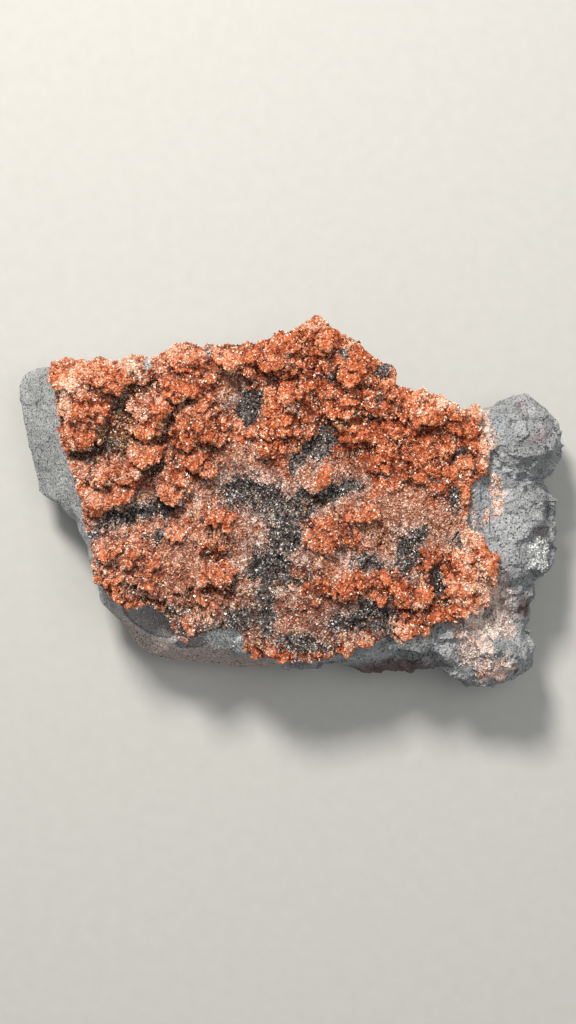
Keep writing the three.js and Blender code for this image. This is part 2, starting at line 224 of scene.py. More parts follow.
orange = patch(ragged_rock, ORANGE_PATCHES, 0.4, 1.4) * looks_up
pink_grey = patch(ragged_rock, PINK_GREY_PATCHES, 0.3, 1.3) * looks_up
druse = patch(ragged_rock, WHITE_DRUSE, 0.4, 1.3) * looks_up
keep_share(rock.data, "pink_grey", np.maximum(pink_grey, 0.8 * np.maximum(cream, orange)))
keep_share(rock.data, "plum_stain", patch(ragged_rock, PLUM_STAINS, 0.2, 1.3))
keep_share(rock.data, "blue_facet", patch(ragged_rock, BLUE_FACETS, 0.7, 1.2))
# Painted shade: the lower face at the right and the recessed corner are darkened, over their own brown.
keep_share(rock.data, "dark_face_painted_shade", patch(rock_points, DARK_FACE_PAINTED_SHADE))
# Painted fill light: the lower face at the left is made a lighter mauve, where the lamps leave it in shade.
off_the_chips = 1 - 0.8 * patch(rock_points, CHIPS, 0.9, 1)
keep_share(rock.data, "mauve_face_painted_fill", patch(rock_points, MAUVE_FACE_PAINTED_FILL) * off_the_chips)
in_chip = patch(rock_points, CHIPS, 0.84, 1.02)
keep_share(rock.data, "chip", in_chip)
# Painted highlight on the ridge round each chip, and painted shade in a thin dark line along its edge.
keep_share(rock.data, "chip_edge_painted_shade", 4 * in_chip * (1 - in_chip))
keep_share(rock.data, "chip_rim_painted_highlight", patch(rock_points, CHIPS, 1.05, 1.4) * (1 - in_chip))
# Painted light: the shelf patches, and faintly the clean left end, are made paler as if lit more brightly.
painted_light_shelf = patch(ragged_rock, PAINTED_LIGHT_SHELF, 0.5, 1.1)
flat_end = smoothstep(FLAT_END, FLAT_END - 10 * MM, rock_points[:, 0])
keep_share(rock.data, "painted_light_shelf", np.maximum(painted_light_shelf, 0.09 * flat_end))
patchy = smoothstep(-0.2, 0.2, waves(rock_points, 1.8 * MM, 31) + 0.1)
keep_share(rock.data, "pale_coat", np.maximum(cream, 0.75 * orange) * patchy)


def srgb(text):
    """A colour given as sRGB hex, in the linear values that a material takes."""
    parts = [int(text[i : i + 2], 16) / 255 for i in (1, 3, 5)]
    return [p / 12.92 if p <= 0.04045 else ((p + 0.055) / 1.055) ** 2.4 for p in parts] + [1]


def node(tree, kind, settings=None, **links):
    """Adds a node with its settings. A link names an input, and gives a value or another node's output."""
    made = tree.nodes.new(kind)
    for name, value in (settings or {}).items():
        setattr(made, name, value)
    for name, value in links.items():
        slot = made.inputs[int(name[1:])] if name[1:].isdigit() else made.inputs[name.replace("_", " ")]
        if isinstance(value, bpy.types.NodeSocket):
            tree.links.new(value, slot)
        else:
            slot.default_value = value
    return made


def new_material(name):
    """An empty material: its node tree, its shader and its output, already joined."""
    material = bpy.data.materials.new(name)
    material.use_nodes = True
    tree = material.node_tree
    tree.nodes.clear()
    shader = tree.nodes.new("ShaderNodeBsdfPrincipled")
    output = tree.nodes.new("ShaderNodeOutputMaterial")
    tree.links.new(shader.outputs["BSDF"], output.inputs["Surface"])
    return material, tree, shader


def tinted(tree, colour, tints):
    """A colour mixed with each tint in turn, by the share of that name that the mesh keeps."""
    for share_name, shade, strength in tints:
        share = node(tree, "ShaderNodeAttribute", {"attribute_name": share_name})
        fade = node(tree, "ShaderNodeMath", {"operation": "MULTIPLY"}, _0=share.outputs["Fac"], _1=strength)
        mixed = node(tree, "ShaderNodeMix", {"data_type": "RGBA"}, _0=fade.outputs["Value"], _6=colour,
                     _7=srgb(shade))
        colour = mixed.outputs[2]
    return colour


# Fresh broken siltstone: matt and gritty, blue grey, with dark specks under half a millimetre across and a
# faint cloudiness. The patches are kept on the mesh, so they follow its surface. The chips have fewer
# specks, and fine ripples that the light picks out, with a painted highlight on their rims and painted shade
# along their edges; the lower face and the shelf carry painted fill light and painted shade.
CLOUD_SIZE = 7 * MM
BREAK_SIZE = 2.4 * MM  # the uneven break between the small facets
ROCK_GRAIN = 0.5 * MM
SPECK_SPACING = 0.62 * MM
siltstone, tree, shader = new_material("fresh broken siltstone")
place = node(tree, "ShaderNodeTexCoord").outputs["Object"]
clouds = node(tree, "ShaderNodeTexNoise", Vector=place, Scale=1 / CLOUD_SIZE, Detail=6.0, Roughness=0.65)
cloudy = node(tree, "ShaderNodeValToRGB", Fac=clouds.outputs["Fac"])
cloudy.color_ramp.elements[0].position = 0.34
cloudy.color_ramp.elements[0].color = srgb("#82868a")
cloudy.color_ramp.elements[1].position = 0.66
cloudy.color_ramp.elements[1].color = srgb("#abafb4")
grit = node(tree, "ShaderNodeTexNoise", Vector=place, Scale=1 / ROCK_GRAIN, Detail=3.0, Roughness=0.7)
gritty = node(tree, "ShaderNodeMapRange", Value=grit.outputs["Fac"], From_Min=0.36, From_Max=0.62,
              To_Min=0.5, To_Max=1.35)
colour = tinted(tree, cloudy.outputs["Color"], [
    ("plum_stain", "#8a6a6c", 0.35), ("blue_facet", "#8f9ba4", 0.5), ("mauve_face_painted_fill", "#b3a29d", 0.85),
    ("dark_face_painted_shade", "#584540", 0.85), ("painted_light_shelf", "#f0f6f4", 0.9), ("pink_grey", "#a58c84", 0.7),
    ("pale_coat", "#f8ebe3", 0.95), ("chip", "#a39c9e", 0.5), ("chip_rim_painted_highlight", "#c3c6c8", 0.55),
    ("chip_edge_painted_shade", "#2b2828", 0.75),
])
grey = node(tree, "ShaderNodeMix", {"data_type": "RGBA", "blend_type": "MULTIPLY"}, _0=1.0, _6=colour,
            _7=gritty.outputs["Result"])
waver = node(tree, "ShaderNodeTexNoise", Vector=place, Scale=1 / ROCK_GRAIN, Detail=2.0)
wavered = node(tree, "ShaderNodeVectorMath", {"operation": "MULTIPLY_ADD"}, _0=waver.outputs["Color"],
               _1=(ROCK_GRAIN,) * 3, _2=place)
cells = node(tree, "ShaderNodeTexVoronoi", Vector=wavered.outputs["Vector"], Scale=1 / SPECK_SPACING)
lot = node(tree, "ShaderNodeSeparateColor", Color=cells.outputs["Color"])
speck_size = node(tree, "ShaderNodeMapRange", Value=lot.outputs["Red"], From_Min=0.3, From_Max=1.0,
                  To_Min=0.0, To_Max=0.55)
speck_edge = node(tree, "ShaderNodeMath", {"operation": "SUBTRACT"}, _0=speck_size.outputs["Result"],
                  _1=cells.outputs["Distance"])
chip_share = node(tree, "ShaderNodeAttribute", {"attribute_name": "chip"})
speck_depth = node(tree, "ShaderNodeMapRange", Value=chip_share.outputs["Fac"], To_Min=0.9, To_Max=0.2)
specks = node(tree, "ShaderNodeMapRange", Value=speck_edge.outputs["Value"], From_Min=0.0, From_Max=0.1,
              To_Min=0.0, To_Max=speck_depth.outputs["Result"])
colour = node(tree, "ShaderNodeMix", {"data_type": "RGBA"}, _0=specks.outputs["Result"],
              _6=grey.outputs[2], _7=srgb("#34373a")).outputs[2]
coarse = node(tree, "ShaderNodeTexNoise", Vector=place, Scale=1 / BREAK_SIZE, Detail=4.0, Roughness=0.7)
rough = node(tree, "ShaderNodeBump", Height=coarse.outputs["Fac"], Strength=0.8, Distance=0.9 * MM)
bumps = node(tree, "ShaderNodeBump", Height=grit.outputs["Fac"], Strength=0.9, Distance=0.35 * MM,
             Normal=rough.outputs["Normal"])
pits = node(tree, "ShaderNodeBump", {"invert": True}, Height=specks.outputs["Result"], Strength=0.6,
            Distance=0.15 * MM, Normal=bumps.outputs["Normal"])
from_blow = node(tree, "ShaderNodeVectorMath", {"operation": "SUBTRACT"}, _0=place, _1=BLOW)
rings = node(tree, "ShaderNodeTexWave", {"wave_type": "RINGS", "rings_direction": "SPHERICAL"},
             Vector=from_blow.outputs["Vector"], Scale=math.pi / (10 * RIPPLE_SPACING), Distortion=1.5)
ripple_height = node(tree, "ShaderNodeMath", {"operation": "MULTIPLY"}, _0=rings.outputs["Fac"],
                     _1=chip_share.outputs["Fac"])
ripples = node(tree, "ShaderNodeBump", Height=ripple_height.outputs["Value"], Strength=1.0,
               Distance=0.3 * MM, Normal=pits.outputs["Normal"])
tree.links.new(colour, shader.inputs["Base Color"])
tree.links.new(ripples.outputs["Normal"], shader.inputs["Normal"])
shader.inputs["Roughness"].default_value = 0.88
rock.data.materials.append(siltstone)
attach(rock, "root")
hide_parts("matrix")


# The crust: hematite crystals grown together into clumps, plates and ledges over the block's face. Each
# clump rises towards its lower edge and ends there in a step that leans over the gap below it. Here it is
# the body that the outer crystals stand on: lumps a few millimetres wide, in the colours of each zone.
CRUST_VOXEL = 0.41 * MM
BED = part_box("hematite_crust")[0].z
CRUST_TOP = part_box("hematite_crust")[1].z
CLUMP_RISE = 2.7 * MM  # height of the step at a clump's lower edge
MID_STEP = 0.4  # the height within a clump's slope that stays at the level of the solid
GAP_DEPTH = 2 * MM
THINNEST = 0.8 * MM
LUMP_SINK = 0.7 * MM  # how far the body is drawn in, so that its lumps stand about the solid's level
QUIETING = 0.6  # how much lower the steps are in the quiet zones
SMOOTHING = 0.55  # how much flatter the lumps are in the dusty and dark zones
LEAN = 0.5  # how far a clump leans over, as a share of how far it stands above what is round it
LEAN_REACH = 5 * MM  # how wide an area counts as what is round it
LUMP_SIZES = [(6.5 * MM, 0.08), (3 * MM, 0.13), (1.5 * MM, 0.27)]  # the lumps' spacing, and height against it
PLATE_SIZES = [(4.4 * MM, 0.24), (2.1 * MM, 0.34)]  # spacing and tilt of the plates that they are broken into
PLATE_STRETCH = 0.6  # the plates are longer up and down the crust than they are wide

# Clumps, gaps and zones of the crust, in millimetres: x, y, half length, half width, turn in degrees.
CLUMPS = [
    (-29, 42, 5.1, 3.9, 0), (-18, 42.5, 3.7, 2.6, 0), (-12.5, 44, 2.6, 2.8, 0), (-4.5, 44, 5.1, 4.6, 0),
    (0, 47, 2.8, 3.7, 0), (9, 45.5, 1.9, 2.3, 0), (21, 43.5, 1.9, 1.9, 0), (-61.5, 38, 6, 3.3, 0),
    (-59.5, 31.5, 5.1, 6, 0), (-52, 38, 7, 3.5, 0), (-49, 35.5, 3.7, 3.5, 30), (-35.5, 36.5, 3, 2.6, 0),
    (-30, 35, 7.4, 3.7, 10), (-26, 31, 3.9, 2.6, 0), (-2, 39.5, 2.6, 1.6, 0), (0, 33, 2.8, 4.6, 0),
    (3, 40, 1.6, 1.3, 0), (16, 38, 2.9, 1.9, 0), (16.5, 32, 2.9, 1.5, 0), (19.5, 41, 2.3, 2.7, 0),
    (27, 32.5, 1.9, 1.5, 0), (-60, 21.5, 4.4, 4.9, 0), (-55.5, 23, 3.5, 4.2, 20), (-55, 29.5, 3.9, 3.7, 0),
    (-42, 22, 2.3, 2.3, 0), (-38.5, 25, 5.1, 3.9, 30), (-36, 29, 3.3, 2.1, 0), (-30.5, 21, 2.6, 3.5, 0),
    (-26, 24, 6.5, 4.6, 0), (-22.5, 20, 4.2, 1.9, 10), (-20, 25.5, 3.5, 3, 0), (-12.5, 21, 2.1, 1.6, 0),
    (-4, 23.5, 4.6, 3.3, 0), (-3.5, 27.5, 3.7, 3.9, 0), (2, 24, 3.7, 3.9, 0), (15, 24, 3.3, 2.6, 0),
    (18, 21, 3.9, 2.6, 0), (21, 27.5, 5.1, 2.3, 0), (29, 29, 6.1, 4.4, 0), (30.5, 22.5, 5.1, 4.2, 0),
    (38.5, 27, 6.6, 3.9, 0), (41.5, 18.5, 4.2, 4.2, 0), (42, 26.5, 2.3, 1.6, 0), (48, 24.5, 5, 3.9, 0),
    (52, 19, 3.3, 4.4, 0), (-52, 9.5, 5.1, 2.3, 10), (-44.5, 9, 3, 2.3, -20), (-41, 16, 4.4, 3.5, 0),
    (-32, 11, 3, 2.8, 0), (-29.5, 7, 1.6, 2.1, 0), (-27.5, 15, 4.2, 2.3, 30), (-23.5, 12, 3.9, 2.1, 10),
    (-6.5, 17, 3, 2.1, 0), (9, 9.5, 2.9, 3.1, 0), (24.5, 11.5, 2.8, 2, 0), (25.5, 16.5, 2.6, 2.6, 0),
    (35, 16.5, 4.2, 3.5, 0), (53, 12.5, 3.3, 2.8, 0), (-53.5, 2.5, 5.1, 2.8, 20), (-48, 4.5, 3, 2.1, 20),
    (-33.5, 5.5, 2.6, 3.3, 0), (-20, -2.5, 5.1, 1.9, 0), (7, -3.5, 2, 2.2, 0), (11, -3.5, 1.8, 1.8, 0),
    (18.5, -2, 4.6, 2.6, 20), (22.5, 0, 2.2, 2.4, 0), (27, 6, 3.5, 2.1, 0), (-51, -11, 3.5, 2.4, 0),
    (-42.5, -12.5, 4.3, 2.9, 0), (-39.5, -15, 2.4, 2, 0), (-33, -8, 2.9, 1.5, 0), (-23, -11.5, 2.6, 2.3, 0),
    (-22.5, -8.5, 2.4, 2, 0), (-19.5, -17, 4.3, 2.3, -10), (10.5, -8, 7, 3.7, 0), (38.5, -13, 2.1, 3.5, 0),
    (50.5, -12.5, 4.4, 2.8, 0), (54.5, -14.5, 3.9, 2.8, 0), (57, -17.5, 2.5, 3.3, 0),
    (-50, -19, 3.1, 2.4, 0), (-46.5, -23, 3.5, 2, -20), (-45, -26, 2.8, 1.1, 0), (-40, -21, 2.2, 1.8, 0),
    (-26, -24.5, 2, 1.2, 0), (-22.5, -27.5, 2.4, 1.8, 0), (-21, -19, 4.4, 3.3, 0), (-2.5, -28, 1.2, 1, 0),
    (3.5, -23, 1.8, 1.3, 0), (4.5, -27, 2.4, 1.4, 0), (9.5, -21, 2.6, 2.1, 0), (11.5, -24.5, 2.7, 0.9, -25),
    (15, -21.5, 4.6, 3, 0), (25, -25, 1.9, 1.5, 0), (29, -20.5, 3.9, 2.6, 0), (31, -29, 1.6, 1.2, 0),
    (34.5, -25, 4.7, 3, 0), (37.5, -29.5, 3.7, 2.3, 0), (45.5, -29.5, 2.8, 1.2, 0),
    (46.5, -19.5, 4.4, 5, 0), (49, -25.5, 5.5, 4.4, 0), (-29, -32, 2.4, 1.8, 30), (-6, -39, 3.1, 1.8, -20),
    (30, -35, 2.2, 1.2, 0), (33, -32.5, 6.1, 2.8, 0), (-2, -43, 2, 0.8, 0),
]
GAPS = [
    (-44, 32, 2.8, 2.1, 20), (-41, 34, 2.6, 1.4, 0), (-5.5, 36.5, 2.2, 1.5, 10), (0.5, 35, 0.6, 1.3, 0),
    (3.5, 38, 1.6, 0.5, 0), (6, 32, 0.6, 1, 0), (12, 36.5, 0.9, 1.8, 0), (14.5, 34.5, 1.9, 0.6, 0),
    (20.5, 40, 1.2, 0.4, -30), (21.5, 34, 1.6, 0.5, 0), (-51, 21, 3.7, 2.3, -20),
    (-48.5, 28.5, 2.6, 2.6, 0), (-46.5, 25, 2.8, 1.6, -30), (-46.5, 19.5, 2.6, 2.3, 0),
    (-38, 20.5, 2.8, 1, 15), (-35, 23.5, 1.6, 2.6, -30), (-30, 29.5, 2.8, 0.9, 10),
    (-26, 18, 2.3, 1.2, -20), (-7.5, 21, 1.3, 1.1, 0), (-2, 20, 1.4, 0.8, 0), (0.5, 29.5, 1.6, 0.9, 0),
    (13.5, 25, 1.6, 0.9, 0), (18.5, 27, 1.1, 0.6, 0), (-58.5, 14.5, 3.5, 1.9, 0), (-52, 16.5, 5.6, 2.6, 0),
    (-50, 7.5, 2.8, 0.8, 15), (-42, 10.5, 2.1, 1.6, 0), (-38, 10.5, 2.8, 2.3, 20), (-22, 17.5, 3.3, 0.8, 0),
    (-6, 14, 1, 1.9, 0), (17.5, 15, 1.6, 0.7, 0), (45, 12, 1.7, 0.7, 0), (51.5, 15, 1, 0.8, 0),
    (-30, 5, 1, 0.8, 0), (-22.5, -6, 1, 1.2, 0), (6.5, 0.5, 2.8, 0.7, -10), (33, 6, 3.9, 0.5, -5),
    (-41, -15, 0.7, 1, 0), (52, -15.5, 2, 0.9, 0), (-48.5, -22, 2, 0.6, 0), (-43.5, -22, 1.1, 1.6, 0),
    (-39, -26.5, 2.6, 0.9, 0), (-34.5, -30, 2.4, 1.1, -30), (-33.5, -25.5, 3.3, 0.6, 0),
    (-30.5, -24, 2.4, 0.7, 30), (-29, -28.5, 2, 0.8, 0), (-22.5, -22.5, 2.6, 1.3, 0),
    (-16.5, -21, 1.3, 2.1, 0), (-2.5, -22.5, 2.8, 0.9, 10), (1.5, -20.5, 1.9, 0.5, 10),
    (5, -23.5, 0.4, 1, 0), (9, -19, 1.5, 0.5, 0), (13, -24, 1.3, 0.5, -30), (13.5, -27, 1.6, 0.5, 20),
    (36.5, -27.5, 1.9, 0.5, 10), (41, -27, 3.3, 0.8, 10), (-21, -33.5, 2.4, 1.1, 20),
    (15.5, -31.5, 1.9, 0.4, 10), (22.5, -32.5, 1.9, 0.5, 40), (28, -30.5, 1.6, 0.6, 0),
    (37.5, -30.5, 0.6, 0.6, 0),
]
DARK_ZONES = [
    (-1, 42.5, 1.5, 1.5, 0), (14.5, 43.5, 1.4, 1.8, 0), (-11.7, 28.5, 3.4, 4.8, -10), (-5, 36, 1.5, 1.5, 0),
    (11, 36.5, 1.2, 1.5, 0), (24.5, 31, 1.2, 1.5, 0), (26, 38, 1.8, 1.6, 0), (-48.5, 29, 2.1, 2.1, 0),
    (0.5, 28, 1.9, 1.8, 0), (6.5, 16.3, 7, 2.6, 30), (18.5, 27, 1, 0.8, 0), (23.5, 25, 1.8, 1.4, 0),
    (-58.5, 14.5, 3.3, 1.9, 0), (-52.5, 17, 5.3, 2.3, 0), (-38.5, 10.5, 2.6, 2.1, 20),
    (-13.5, 4.6, 5.6, 4.2, 0), (-6.5, 2.4, 5, 4, 0), (-2, -0.5, 6.4, 4.2, -12), (-2.5, -6, 4.2, 6, 0),
    (10, 20, 2.4, 2.4, 0), (11.5, 3.6, 7.6, 2.1, 24), (3, 3.5, 4, 1, 0), (0, 12, 1.6, 1.6, 0),
    (26.5, 9, 1.8, 1.2, 0), (40, 9, 1.1, 0.9, 0), (46.5, 15, 1.2, 1.7, 0),
    (46, 3, 1.5, 2.5, 0), (-44, -2, 10, 2.5, 16), (-37, -0.5, 4, 2.8, 20),
    (-55.5, -7, 2.4, 1.5, 0), (-53, -14.5, 1.8, 0.7, 0), (-37.5, -8, 1.8, 1.4, 0), (-0.5, -7, 3, 3.6, 0),
    (-6, -16.5, 5.8, 5.8, 0), (-8, -25, 2.4, 4, 0), (-7.5, -31.5, 3, 3.6, 0), (21.5, -15.3, 4.5, 2, -8),
    (32.3, -13.3, 3, 4.6, 0), (35.5, -7, 2.6, 1.9, 30), (46, -9.5, 1.8, 1.1, 0), (-43.5, -23, 1.5, 1.5, 0),
    (-33.5, -30, 2.4, 1.5, 0), (2, -20, 3.4, 1.3, 0), (41.5, -21.5, 2, 3.5, 0), (-21.5, -33.5, 2.8, 1.5, 0),
    (-15, -31, 4.6, 2.6, 20), (0, -37.5, 4.4, 2.6, 0), (19, -32, 8, 2.4, 5), (21, -28.7, 4.6, 2, 0),
    (26, -31, 3.4, 3.2, 0), (28, -35.5, 2, 1.1, 0), (0.5, -42.5, 1.5, 1.2, 0), (-30, -35, 2.5, 1.5, -30),
    (6.5, -38.5, 4, 1.8, 0),
]
QUIET_ZONES = [(3, -4, 27, 15, 0), (34, 4, 19, 17, 0), (-14, 8, 12, 7, 0), (0, -29, 24, 8, 0)]
DUSTY_ZONES = [
    (2, -4, 27, 15, 0), (33, -5, 17, 10, 0), (-22, -14, 15, 9, 0), (2, -31, 30, 9, 0), (-38, 1, 9, 5, 10),
    (-18, 42, 2.8, 1.9, 0), (-17, 33, 4.4, 5.8, 0), (4, 22, 2.8, 4.2, 0), (-15, 11, 10.7, 6.5, 0),
    (-12, 14, 5.1, 4.2, 0), (9.5, 7.5, 11.6, 7, 10), (-38, 3.5, 3.7, 2.8, 0), (-26, 2, 3.7, 2.3, 0),
    (-23.5, 5.5, 5.6, 4.2, 0), (-18, 4.5, 7, 4.2, 0), (-6, 6, 3.9, 3.5, 0), (30, -2.5, 12.1, 5.6, -10),
    (31, 0.5, 11.1, 6.1, 0), (-30.5, -12, 5.9, 3.5, 0), (-19, -16.5, 5.6, 2.8, 0),
    (-14, -9.5, 10.7, 6, -10), (-11, -8.5, 4.7, 2.4, 0), (-2.5, -11.5, 7, 5.6, 0), (9, -17, 4.8, 2.3, 0),
    (9.5, -14.5, 12.1, 3.5, 0), (15.5, -16, 3.9, 1.5, 0), (22.5, -17.5, 2.5, 1.2, 0), (23, -8.5, 7, 3.3, 0),
    (25, -14.5, 7, 2.8, 0), (28, -6.5, 6.6, 3.3, 0), (35.5, -12, 3.3, 2.2, 0), (-33, -22, 5.1, 2.8, 0),
    (-32.5, -28, 2.8, 1.5, 0), (-13, -24, 3.9, 3.1, 0), (-7.5, -22.5, 10.2, 3.3, 0), (9, -30, 3.2, 1.9, 0),
    (34, -20, 3.4, 2.1, 0), (-24.5, -32, 3.1, 1.9, 0), (-19, -30.5, 4.7, 2.4, 0), (-9, -35.5, 3.1, 2.6, 0),
    (-1, -32, 3.3, 2.2, 0), (2.5, -31.5, 3.2, 2.6, 0), (7.5, -34, 3.9, 1.5, 0), (-27, -29, 9, 4.6, -20),
    (-40.5, -24.5, 5.5, 2.4, -10),
]
BARE_ROCK = [(-40.6, 40.6, 1.2, 2.2, 0), (-23.6, 44, 0.9, 1.6, 0)]  # slivers that show at the upper edge
PALE_ZONES = [
    (6.5, 50.5, 1.5, 1, 0), (9, 52, 1.4, 1, 0), (16, 47.5, 1.9, 0.8, -30), (19, 46, 0.9, 0.8, 0),
    (-63.2, 31.5, 1.6, 6, 0), (-61, 36, 2.6, 2.6, 0), (-50, 40, 2.8, 0.9, 0), (-45.5, 39.5, 3.5, 1.8, -10),
    (-43, 37.5, 3.3, 1.6, -20), (21.5, 31.5, 1.3, 0.6, 0), (30, 38, 0.6, 1, 0), (37.5, 31.5, 2, 1.2, 0),
    (54.6, 21, 1.8, 8, 0), (53, 6.5, 1.6, 2, 0),
    (-62.5, 27.5, 1.2, 3.3, 0), (-61.5, 18, 1.3, 2.3, 0), (35.5, 28, 1.9, 0.9, 0),
    (43, 29.5, 2.8, 1.6, -20), (48.5, 27.5, 4.2, 1.6, -15), (54, 24, 1.6, 3.9, 0), (54.5, 28.5, 3, 1.6, 20),
    (54.5, 18.5, 1.3, 2.8, 0), (49.5, -3, 1, 3.3, 0), (-50, -14.5, 1.4, 0.4, 0), (48, -11.5, 3.9, 1.3, 10),
    (47.5, -10.5, 5.2, 1.9, 22), (51.5, -8.5, 3, 2.2, 0), (49, -15, 2.6, 2, 0), (53, -21, 3, 7, 0),
    (-25.5, -29, 2.8, 0.6, 35), (-22.5, -29, 1, 0.6, 0),
    (34.5, -26.5, 2.5, 0.9, 0), (47.5, -25.5, 2.2, 0.9, 0), (51, -30, 3.9, 1.7, 0),
    (55.5, -27.5, 2.8, 2.2, 0), (49, -21, 2.4, 1.6, 0), (53.5, -23, 1.8, 2.4, 0),
    (-28, -32.5, 0.4, 1.2, 0), (9, -37, 1.5, 0.9, 0), (29.5, -33, 3.3, 1.7, 0), (39.5, -32.5, 1.9, 0.8, 30),
]


def stands_above(places, reach):
    """How far each point stands above the average height of what is round it."""
    cell = 0.5 * MM
    low = places[:, :2].min(axis=0) - reach * 2
    column = ((places[:, :2] - low) / cell).astype(int)
    size = column.max(axis=0) + int(2 * reach / cell) + 1
    total, count = np.zeros(size), np.zeros(size)
    np.add.at(total, (column[:, 0], column[:, 1]), places[:, 2])
    np.add.at(count, (column[:, 0], column[:, 1]), 1)
    offsets = np.arange(-3 * reach, 3 * reach + cell, cell)
    bell = np.exp(-0.5 * (offsets / reach) ** 2)
    for axis in (0, 1):
        total = np.apply_along_axis(np.convolve, axis, total, bell, "same")
        count = np.apply_along_axis(np.convolve, axis, count, bell, "same")
    return places[:, 2] - (total / np.maximum(count, 1e-6))[column[:, 0], column[:, 1]]


def lump_height(point, spacing):
    """Height of a surface of rounded lumps with sharp creases between them, from 0 to about 1."""
    near, far = noise.voronoi(point / spacing)[0][:2]
    return min(1.0, 2.2 * (far - near)) ** 0.6


def mottled(share, places, seed):
    """A share whose soft border is broken up into spots a few millimetres wide."""
    return np.clip(1.25 * share + 4 * share * (1 - share) * waves(places, 2.2 * MM, seed), 0, 1)


crust = even_copy("hematite_crust", "crust_body", CRUST_VOXEL)
crust_points = points_of(crust.data)
crust_normals = normals_of(crust.data)
above_bed = smoothstep(0.4 * MM, 1.6 * MM, crust_points[:, 2] - BED)
ragged = wandered(wandered(crust_points, 4.5 * MM, 1.6 * MM), 2.3 * MM, 1.5 * MM)
scalloped = wandered(ragged, 1.2 * MM, 0.8 * MM)
steps = steps_down(scalloped, CLUMPS)
gaps = patch(scalloped, GAPS, 0.75, 1.35)
quiet = patch(crust_points, QUIET_ZONES)
on_clump = np.clip(2.5 * steps, 0, 1)

# The share of each kind of crystal at each place. Clumps are redder than what lies between them.
dark = mottled(patch(ragged, DARK_ZONES, 0.7, 1.5), crust_points, 3) * (1 - 0.6 * on_clump)
lilac = mottled(patch(ragged, DARK_ZONES, 0.9, 2.6), crust_points, 5) * (1 - 0.8 * on_clump) * (1 - dark)
low_left = smoothstep(-17 * MM, -24 * MM, crust_points[:, 1]) * (crust_points[:, 0] < 5 * MM)
dusty = mottled(patch(ragged, DUSTY_ZONES, 0.5, 1.35), crust_points, 8)
dusty *= 1 - 0.85 * on_clump * (1 - 0.7 * low_left)
pale = mottled(patch(ragged, PALE_ZONES, 0.4, 1.5), crust_points, 14)

# The lumps and plates, smoother in the dusty and dark zones, and then the steps and gaps.
smooth_share = np.maximum(dusty, dark) * (1 - on_clump)
lump_places = wandered(crust_points, 1.2 * MM, 0.5 * MM)
lumps = np.array([
    [lump_height(Vector(place), spacing) for spacing, height in LUMP_SIZES] for place in lump_places
])
crust_lumps = lumps @ np.array([spacing * height for spacing, height in LUMP_SIZES])
crust_plates = np.array([
    sum(2 * tilt * spacing * facet(Vector((x, y * PLATE_STRETCH, z)), spacing)
        for spacing, tilt in PLATE_SIZES)
    for x, y, z in lump_places
])
swell = (crust_lumps + crust_plates - LUMP_SINK) * (1 - SMOOTHING * smooth_share) * above_bed
crust_points = crust_points + crust_normals * swell[:, None]
step_rise = CLUMP_RISE * (steps - MID_STEP) * (1 - QUIETING * quiet)
crust_points[:, 2] += (step_rise - GAP_DEPTH * gaps) * above_bed
on_top = above_bed > 0.3
crust_points[on_top, 2] = np.maximum(crust_points[on_top, 2], BED + THINNEST)
proud = stands_above(crust_points, LEAN_REACH)
crust_points[:, 1] -= LEAN * np.clip(proud, -2 * MM, 3 * MM) * above_bed
crust_points[:, 2] = np.clip(crust_points[:, 2], BED, CRUST_TOP)
place_points(crust.data, crust_points)

# What the colours follow: how high each place stands, used for painted light on the raised places and painted
# shade in the creases and gaps, and the cracks between the lumps.
light = np.clip(0.5 + stands_above(crust_points, 1.5 * MM) / (1.6 * MM), 0, 1)
crest = lumps @ np.array([0.2, 0.4, 0.4])  # 0 in the creases between the lumps, 1 on top of them
cracks = np.maximum(smoothstep(0.5, 0.25, lumps[:, 0]), 0.7 * smoothstep(0.4, 0.2, lumps[:, 1]))
cracked_spots = smoothstep(-0.1, 0.25, waves(crust_points, 6 * MM, 41))
cracked_edge = smoothstep(-16 * MM, -24 * MM, crust_points[:, 1]) * (crust_points[:, 0] < 22 * MM)
cracks *= np.maximum(cracked_spots, cracked_edge)
keep_share(crust.data, "painted_shade_and_cracks", 0.75 * crest + 0.35 * (light - 0.5) - 0.3 * gaps - 0.45 * cracks)
clump_tops = smoothstep(0.75, 0.35, steps) * smoothstep(-5 * MM, -25 * MM, crust_points[:, 0])
dusty = np.maximum(dusty, 0.5 * clump_tops * (1 - gaps))
bare_rock = patch(crust_points, BARE_ROCK, 0.8, 1.3)
keep_share(crust.data, "gap_floors", gaps)
keep_share(crust.data, "bare_rock", bare_rock)
keep_share(crust.data, "dark_crystals", dark)
keep_share(crust.data, "dusty_crystals", dusty * (1 - 0.7 * cracks))
keep_share(crust.data, "pale_crystals", pale * (1 - 0.7 * cracks))

# Massive hematite between the crystals: earthy orange red, mottled, with a faint gloss. It is lighter on the
# lumps as painted light, and dull dark brown in the creases and gaps, partly its own darker red and partly
# painted shade.
MOTTLE_SIZE = 1.1 * MM
HEMATITE_GRAIN = 0.5 * MM
hematite_body, tree, shader = new_material("massive red hematite")
place = node(tree, "ShaderNodeTexCoord").outputs["Object"]
mottle = node(tree, "ShaderNodeTexNoise", Vector=place, Scale=1 / MOTTLE_SIZE, Detail=4.0, Roughness=0.7)
height = node(tree, "ShaderNodeAttribute", {"attribute_name": "painted_shade_and_cracks"})
uneven = node(tree, "ShaderNodeMath", {"operation": "MULTIPLY_ADD"}, _0=mottle.outputs["Fac"], _1=0.6,
              _2=height.outputs["Fac"])
reds = node(tree, "ShaderNodeValToRGB", Fac=uneven.outputs["Value"])
reds.color_ramp.elements[0].position = 0.4
reds.color_ramp.elements[0].color = srgb("#4a1d0e")
reds.color_ramp.elements[1].position = 1.0
reds.color_ramp.elements[1].color = srgb("#c4673d")
